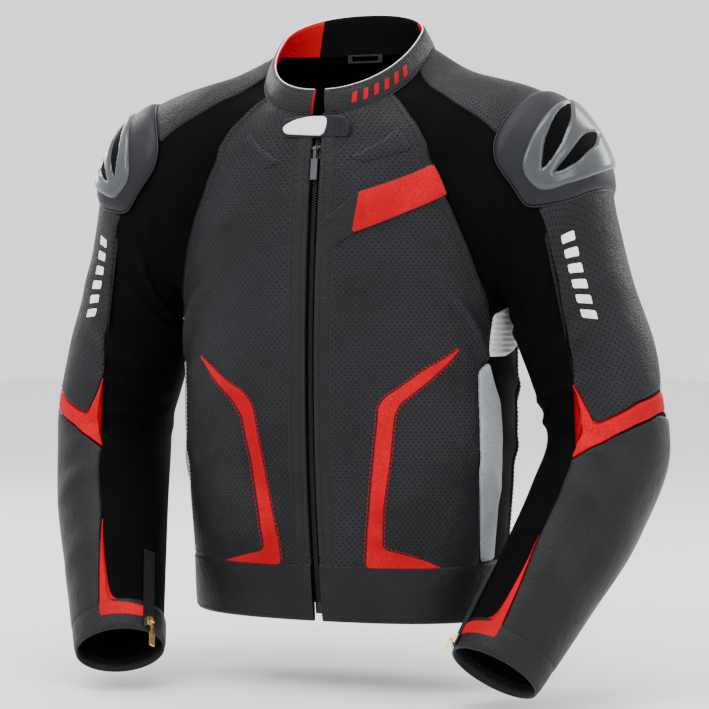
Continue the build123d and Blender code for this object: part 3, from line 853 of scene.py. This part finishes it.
def torso_panels():
    """Leather, ribs and trim of the front and the back."""
    placket = [(0.70, HEM_V + 0.002), (0.68, 0.45), (0.70, 0.85), (1.1, 0.95), (1.5, 0.985)]
    for name, side in SIDES:
        torso_panel("panel_front_", "leather_perforated", "front_panel_", FRONT, 1.2, 1.6, name, side,
                    edge=3.5, spread=front_spread)
        torso_panel("panel_back_upper_", "leather_perforated", "", BACK_UPPER, 1.2, 1.6, name, side,
                    spacing=6.5, spread=shoulder_spread)
        torso_panel("panel_back_lower_", "leather_black", "", BACK_LOWER, 1.2, 1.6, name, side, spacing=6.5)
        torso_panel("stripe_", "leather_red", "front_stripe_", STRIPES[name], 2.6, 1.0, name, side, edge=1.8,
                    spacing=3.6)
        torso_panel("accordion_", "leather_white", "side_accordion_", ACCORDION, 1.0, 2.0, name, side,
                    spacing=1.3, edge=3.0, shape=pleats)
        strip = torso_panel("side_strip_", "leather_white", "side_flash_", SIDE_STRIP, 1.4, 1.6, name, side)
        strip.data.materials[0] = MATERIALS["leather_silver"]
        torso_panel("chest_welt_", "leather_perforated", "", CHEVRONS[name], 2.4, 2.4, name, side, edge=7.0,
                    spacing=3.0, spread=front_spread)
        outline = ribbon(placket, 0.0, -11.5, TORSO_SCALE)
        torso_panel("placket_", "leather_black", "", outline, 2.2, 1.3, name, side, edge=2.2, spacing=3.2)
        outline = ribbon(SEAM, -0.8, -9.5, TORSO_SCALE)
        torso_panel("raglan_welt_", "leather_black", "", outline, 2.3, 1.2, name, side, edge=2.4,
                    spacing=2.6)
    ribs = [(239, 0.66), (121, 0.66), (121, 0.59), (239, 0.59)]
    torso_panel("back_ribs", "stretch_fabric", "back_panel", ribs, 0.8, 2.0, spacing=1.5, edge=3.0,
                shape=pleats)
    torso_panel("chest_strip", "leather_black", "chest_band", BAND, 2.6, 1.7, edge=2.4, spacing=3.5)
    torso_panel("chest_patch", "leather_red", "chest_flash", FLASH, 3.9, 1.0, edge=1.6, spacing=3.5,
                reach=1.0)


def seam_stitches():
    """Rows of thread along the seams of the body."""
    down = [(69, 0.44), (62.5, 0.42), (64, 0.25), (66, 0.20), (67.5, HEM_V + 0.003)]
    zip_edge = [(0.7, 0.10), (0.68, 0.45), (0.7, 0.85), (1.1, 0.95), (1.5, 0.985)]
    hem_line = [(2, HEM_V), (60, HEM_V), (90, HEM_V)]
    front = [(SEAM, -2.9, 3.9), (SEAM, -7.4, 3.9), (zip_edge, -3.0, 3.8), (zip_edge, -9.2, 3.8),
             (down, -3.2, 2.9), (hem_line, -3.0, 3.6), (hem_line, 3.0, 2.9),
             ([(3, 0.006), (60, 0.006), (90, 0.006)], 0.0, 3.9)]
    back = [([(131, 0.995), (141, 0.90), (143.5, 0.815), (138, 0.735), (130, 0.665)], 3.2, 2.9),
            ([(178, 0.668), (131, 0.668)], -3.0, 2.9), ([(178, 0.583), (122, 0.583)], 3.0, 2.9),
            ([(110, 0.50), (104, 0.38), (102, 0.24), (104, HEM_V)], 3.2, 2.9),
            ([(178, HEM_V), (100, HEM_V)], 3.0, 3.6)]
    for name, side in SIDES:
        border = [(STRIPES[name][:8], -1.7, 3.7), (STRIPES[name][9:], -1.7, 3.7)]
        for place, paths, slot in (("front_", front, "zip_black"), ("stripe_", border, "leather_red"),
                                   ("back_", back, "zip_black")):
            on_torso(stitch_rows("thread_" + place + name, torso_at, TORSO_SCALE, paths, side), slot)
    chest = [(BAND[:3], -2.0, 4.1), ([BAND[5], BAND[4], BAND[3]], 2.0, 4.1)]
    on_torso(stitch_rows("thread_chest", torso_at, TORSO_SCALE, chest), "zip_black")


def zip_point(z, out):
    """Point of the front zip's arc at height z, out millimetres off it, and the arc's normal there."""
    turn = math.asin((z - ZIP_Z) / ZIP_RADIUS)
    normal = np.array((0, -math.cos(turn), math.sin(turn)))
    centre = np.array((0, ZIP_Y, ZIP_Z))
    return centre + normal * (ZIP_RADIUS + out), normal


def front_zip():
    """Two tapes and two rows of separate teeth."""
    for name, side in SIDES:
        heights = steps(ZIP_BOTTOM, ZIP_TOP, 8)
        points = []
        for z in heights:
            for x, out in ((1.2, -3.6), (1.2, -3.0), (7.0, -2.6), (15.0, -3.4)):
                points.append(zip_point(z, out)[0] + np.array((x, 0, 0)))
        faces = [tuple(reversed(f)) for f in grid_faces(len(heights), 4)]
        tape = new_mesh("zip_tape_" + name, points, faces, side)
        on_torso(tape, "stretch_fabric", "zip_chain_" + name)
        teeth, ups = [], []
        start = ZIP_BOTTOM + (0 if side > 0 else TOOTH_PITCH / 2)
        for z in np.arange(start, ZIP_TOP, TOOTH_PITCH):
            point, normal = zip_point(z, -2.2)
            teeth.append((point + np.array((1.15, 0, 0)), (1, 0, 0)))
            ups.append(normal)
        row = bricks("zip_teeth_" + name, teeth, (3.0, 1.5, 2.0), ups, side)
        on_torso(row, "zip_black")


# ---- collar ----

COLLAR_SCALE = np.array((2.0, 46.0))


def collar():
    """Stand collar: leather outside, cloth with red sectors inside, thin piping on the rim."""
    turns = np.concatenate([steps(3.2, 20, 1.0), steps(21, 339, 2.2), steps(340, 356.8, 1.0)])
    outside = [(0.0, 1.6), (0.02, 2.6), (0.1, 2.9), (0.35, 3.0), (0.7, 2.9), (0.93, 2.7), (0.985, 2.2),
               (1.0, 1.0)]
    shell = sweep("collar_outside", collar_at, turns, outside)
    on_torso(shell, "leather_black", "collar_shell")
    inner = [(1.0, 0.9), (0.985, -1.0), (0.9, -1.6), (0.5, -2.0), (0.1, -2.0), (0.0, -2.2)]
    sectors = (("front_left", 3.2, 92, "lining_fabric"), ("red_left", 92, 122, "lining_red"),
               ("rear", 122, 214, "lining_fabric"), ("red_right", 214, 318, "lining_red"),
               ("front_right", 318, 356.8, "lining_fabric"))
    for name, first, last, slot in sectors:
        part = sweep("collar_inside_" + name, collar_at, steps(first, last, 2.2), inner)
        on_torso(part, slot, *(["collar_lining"] if name == "rear" else []))
    line = line_at(collar_at, np.linspace(3.2, 356.8, 160), 0.997, 1.2)
    on_torso(tube_along("collar_piping", line, 0.65), "badge_white")
    for name, turn, slot in (("left", 3.2, "leather_black"), ("right", 356.8, "leather_red")):
        line = line_at(collar_at, turn, np.linspace(0.0, 0.98, 20), 0.6)
        on_torso(tube_along("collar_edge_" + name, line, 1.5), slot)
    line = line_at(collar_at, np.linspace(2.0, 358.0, 170), 0.01, 2.4)
    on_torso(tube_along("collar_seam", line, 1.1), "leather_black")
    paths = [([(4, 0.90), (180, 0.90), (356, 0.90)], 0.0, 2.9),
             ([(4, 0.10), (180, 0.10), (356, 0.10)], 0.0, 3.0)]
    on_torso(stitch_rows("thread_collar", collar_at, COLLAR_SCALE, paths), "zip_black")
    for k in range(6):
        middle = 21 + 8.0 * k
        bar = [(middle - 1.6, 0.28), (middle + 2.0, 0.28), (middle + 4.4, 0.68), (middle + 0.8, 0.68)]
        piece = panel(f"collar_bar_{k}", collar_at, bar, COLLAR_SCALE, 2.7, 0.7, edge=0.8, spacing=1.6,
                      rounding=0)
        on_torso(piece, "leather_red")


def tab_at(a, b, lift):
    """Flat chart of the collar tab: across, up and out from the tab's middle."""
    low, high = (np.array(c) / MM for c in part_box("collar_tab"))
    point, normal = zip_point((low[2] + high[2]) / 2, 0.0)
    up = np.array((0, -normal[2], -normal[1]))
    up = up if up[2] > 0 else -up
    return point + np.outer(a, (1, 0, 0)) + np.outer(b, up) + np.outer(np.broadcast_to(lift, len(a)), normal)


def collar_tab():
    """Strap end across the zip: rubber body, ribbed grip and a plain pale badge."""
    flat = np.array((1.0, 1.0))
    body = [(-38, -4), (-37, 8), (-14, 12.2), (14, 12.2), (33, 11), (38.5, 2), (36, -11.5), (18, -10.5),
            (-34, -11)]
    strap = panel("tab_body", tab_at, body, flat, 6.2, 2.4, edge=2.2, spacing=2.4, sink=0.0)
    on_tab(strap, "rubber_black", "collar_tab")
    under = panel("tab_under", tab_at, body, flat, 6.2, -1.2, edge=1.2, spacing=4.0, sink=0.0)
    on_tab(under, "leather_black")
    face = [(-36, -3.5), (-35, 1.5), (-22, 7.5), (-6, 10.6), (13.5, 10.4), (13.5, 2.5), (8, -9.5),
            (-12, -8.6), (-33, -7.2)]
    badge = panel("tab_face", tab_at, face, flat, 8.2, 1.9, edge=1.3, spacing=1.8, sink=0.4)
    on_tab(badge, "badge_white", "tab_badge")
    for k in range(3):
        x = 19 + 5.2 * k
        rib = [(x, -8.5), (x + 2.6, -8.5), (x + 3.4, 8.5), (x + 0.8, 8.5)]
        on_tab(panel(f"tab_rib_{k}", tab_at, rib, flat, 8.0, 1.6, edge=1.1, spacing=1.2), "rubber_black")


# ---- sleeves ----

def slot_depth(a, b, _):
    """Hollows of the shoulder cup."""
    flat = np.stack([a, b], 1) * SLEEVE_SCALE
    depth = np.zeros(len(a))
    for outline in CUP_SLOTS:
        loop = soften(np.asarray(outline, float) * SLEEVE_SCALE, 1)
        within = inside(flat, loop)
        depth -= np.where(within, np.clip(gap_to(flat, loop) / 2.6, 0, 1), 0) * 4.4
    return depth


def sleeve(name, side):
    """Stretch tube of a sleeve, its leather and trim, and its cuff."""
    around = np.linspace(0, 360, 150)[:-1]
    upper = sweep("stretch_arm_" + name, sleeve_at, around, [(t, 0.0) for t in steps(0.0, SPLIT_T, 0.009)],
                  side, True)
    on_sleeve(upper, "stretch_fabric", name, side, "sleeve_upper_" + name)
    lower = sweep("stretch_elbow_" + name, sleeve_at, around,
                  [(t, 0.0) for t in steps(SPLIT_T, 0.985, 0.008)], side, True)
    on_elbow(lower, "stretch_fabric", name, side, "forearm_" + name)
    inner = sweep("cuff_lining_" + name, sleeve_at, around, [(t, -3.4) for t in steps(0.985, 0.72, 0.02)],
                  side, True)
    on_elbow(inner, "lining_fabric", name, side)
    sleeve_panel(on_sleeve, "yoke_", "leather_perforated", "", YOKE, 0.8, 1.8, name, side, edge=3.5,
                 spread=shoulder_spread)
    sleeve_panel(on_elbow, "arm_strip_", "leather_perforated", "sleeve_strip_", STRIP, 1.0, 1.9, name, side,
                 edge=3.5)
    sleeve_panel(on_elbow, "elbow_band_", "leather_red", "elbow_flash_", ELBOW_FLASH, 1.6, 1.5, name, side,
                 edge=2.0, spacing=3.4)
    sleeve_panel(on_elbow, "elbow_patch_", "leather_white", "", ELBOW_PATCH, 1.6, 1.5, name, side, edge=2.0,
                 spacing=3.8)
    sleeve_panel(on_elbow, "arm_leather_", "leather_black", "", FOREARM, 1.0, 1.9, name, side, edge=3.5)
    sleeve_panel(on_elbow, "cuff_band_", "leather_red", "cuff_flash_", CUFF_FLASH, 1.4, 1.6, name, side,
                 edge=2.0, spacing=3.2)
    rim = [(0.962, 0.6), (0.968, 2.2), (0.978, 2.6), (0.992, 2.5), (1.0, 1.4), (1.0, -0.6), (0.99, -1.8),
           (0.97, -2.6)]
    cuff = sweep("cuff_rim_" + name, sleeve_at, around, rim, side, True)
    on_elbow(cuff, "leather_black", name, side, "cuff_" + name)


def shoulder_cup(name, side):
    """Hard cup: padded rubber base with a smooth shell that has two hollows."""
    sleeve_panel(on_sleeve, "cup_base_", "rubber_black", "shoulder_cup_base_", CUP_BASE, 2.0, 6.5, name,
                 side, edge=13.0, spacing=3.6, rounding=3, reach=9.0)
    sleeve_panel(on_sleeve, "cup_shell_", "cup_grey", "shoulder_cup_shell_", CUP_SHELL, 7.0, 5.4, name, side,
                 edge=4.5, spacing=1.9, shape=slot_depth, rounding=3, reach=7.0)
    for k, outline in enumerate(CUP_SLOTS):
        mid = np.mean(outline, 0)
        small = [tuple(mid + (np.array(p) - mid) * 0.94) for p in outline]
        sleeve_panel(on_sleeve, f"cup_hollow_{k}_", "stretch_fabric", "", small, 9.4, 0.3, name, side,
                     edge=2.0, spacing=2.4, rounding=2)
    loop = resample(soften(np.array(CUP_BASE) * SLEEVE_SCALE, 3, reach=9.0), 3.0, True) / SLEEVE_SCALE
    line = sleeve_at(loop[:, 0], loop[:, 1], 3.0)
    on_sleeve(tube_along("cup_piping_" + name, line, 1.1, side, closed=True), "zip_black", name, side)


def sleeve_marks(name, side):
    """Plain slanted bars on the upper arm, and the rows of thread."""
    for k in range(6):
        low = 0.372 + 0.0225 * k
        bar = [(57, low), (69.5, low - 0.010), (69.8, low + 0.003), (57.4, low + 0.013)]
        sleeve_panel(on_elbow, f"arm_bar_{k}_", "badge_white", "", bar, 2.7, 0.6, name, side, edge=0.8,
                     spacing=1.8, rounding=0)
    paths = [(STRIP[:5], 3.0, 2.9), ([(15, 0.61), (42.5, 0.622), (67, 0.642), (84, 0.657)], 0.0, 2.9),
             (FOREARM[:6], 3.0, 2.9), ([(17.5, 0.648), (48, 0.669), (70, 0.692), (86.5, 0.722)], 0.0, 2.9),
             ([(-64, 0.66), (-66, 0.80), (-60, 0.96)], 0.0, 2.9)]
    rows = stitch_rows("thread_arm_" + name, sleeve_at, SLEEVE_SCALE, paths, side)
    on_elbow(rows, "zip_black", name, side)
    paths = [([(14, 0.010), (30, 0.052), (46.5, 0.099), (55, 0.15)], 3.0, 2.6)]
    rows = stitch_rows("thread_yoke_" + name, sleeve_at, SLEEVE_SCALE, paths, side)
    on_sleeve(rows, "zip_black", name, side)


# ---- parts kept from the model ----

KEPT = {
    "zip_slider": "metal_dark", "zip_pull": "metal_dark", "zip_box": "zip_black", "tab_snap": "metal_dark",
    "hanger_loop": "leather_black", "trouser_zip": "zip_black", "wind_flap": "lining_fabric",
    "back_protector": "protector_foam", "shoulder_protector": "protector_foam",
    "elbow_protector": "protector_foam", "cuff_zip": "zip_black", "cuff_zip_slider": "metal_gold",
    "cuff_zip_pull": "metal_gold",
}


def keep_parts():
    """Gives the model's own visible parts their materials."""
    for node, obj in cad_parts.items():
        base = node.removesuffix("_left").removesuffix("_right")
        if base in KEPT:
            obj.data.materials.clear()
            obj.data.materials.append(MATERIALS[KEPT[base]])


# ---- floor, light and camera ----

def stage():
    """Pale round floor under the lowest cuff."""
    low = CAD_BOX[0][2] / MM - FLOOR_DROP
    count, points, faces = 96, [(0, 0, low)], []
    for radius in (1000.0, 3000.0, 9000.0):
        for k in range(count):
            turn = 2 * math.pi * k / count
            points.append((radius * math.cos(turn), radius * math.sin(turn), low))
    for k in range(count):
        m = (k + 1) % count
        faces.append((0, 1 + k, 1 + m))
        faces.append((1 + k, 1 + count + k, 1 + count + m, 1 + m))
        faces.append((1 + count + k, 1 + 2 * count + k, 1 + 2 * count + m, 1 + count + m))
    floor = new_mesh("floor", points, faces)
    s = Shader("floor_paint", (0.86, 0.86, 0.86), 0.9)
    s.raise_by(s.noise(40.0), 0.0002)
    floor.data.materials.append(s.done(s.mix(s.noise(3.0), (0.84, 0.84, 0.84), (0.88, 0.88, 0.88))))


def back_direction(azimuth, elevation):
    """Unit vector from the object towards a place round it, in degrees from its front."""
    a, e = math.radians(azimuth), math.radians(elevation)
    return Vector((math.sin(a) * math.cos(e), -math.cos(a) * math.cos(e), math.sin(e)))


def put_round(obj, azimuth, elevation, distance):
    """Places a lamp or the camera round the object, aimed at its middle."""
    back = back_direction(azimuth, elevation)
    obj.location = VIEW_MIDDLE + back * distance
    obj.rotation_euler = back.to_track_quat("Z", "Y").to_euler()
    bpy.context.scene.collection.objects.link(obj)


def lamp(name, azimuth, elevation, distance, size, power):
    data = bpy.data.lights.new(name, "AREA")
    data.shape = "RECTANGLE"
    data.size, data.size_y = size
    data.energy = power
    put_round(bpy.data.objects.new(name, data), azimuth, elevation, distance)


def light_and_camera():
    """Soft lamps, a white world and the camera."""
    lamp("key", -30, 45, 2.6, (1.4, 1.0), 30)
    lamp("fill", 66, 24, 2.8, (1.0, 1.8), 24)
    lamp("top", 10, 80, 2.4, (1.6, 1.0), 34)
    lamp("rim_left", -125, 30, 2.6, (0.7, 1.8), 26)
    lamp("rim_right", 145, 30, 2.6, (0.7, 1.8), 26)
    world = bpy.data.worlds.new("studio")
    world.use_nodes = True
    sky = world.node_tree.nodes["Background"]
    sky.inputs["Color"].default_value = (1, 1, 1, 1)
    sky.inputs["Strength"].default_value = 1.5
    bpy.context.scene.world = world
    data = bpy.data.cameras.new("camera")
    data.sensor_width = VIEW_SENSOR
    data.lens = VIEW_LENS
    data.shift_x, data.shift_y = VIEW_SHIFT
    camera = bpy.data.objects.new("camera", data)
    put_round(camera, VIEW_TURN, VIEW_RISE, VIEW_DISTANCE)
    bpy.context.scene.camera = camera


light_and_camera()
stage()
torso_shell()
hem()
torso_panels()
seam_stitches()
front_zip()
collar()
collar_tab()
for side_name, side_sign in SIDES:
    sleeve(side_name, side_sign)
    shoulder_cup(side_name, side_sign)
    sleeve_marks(side_name, side_sign)
keep_parts()
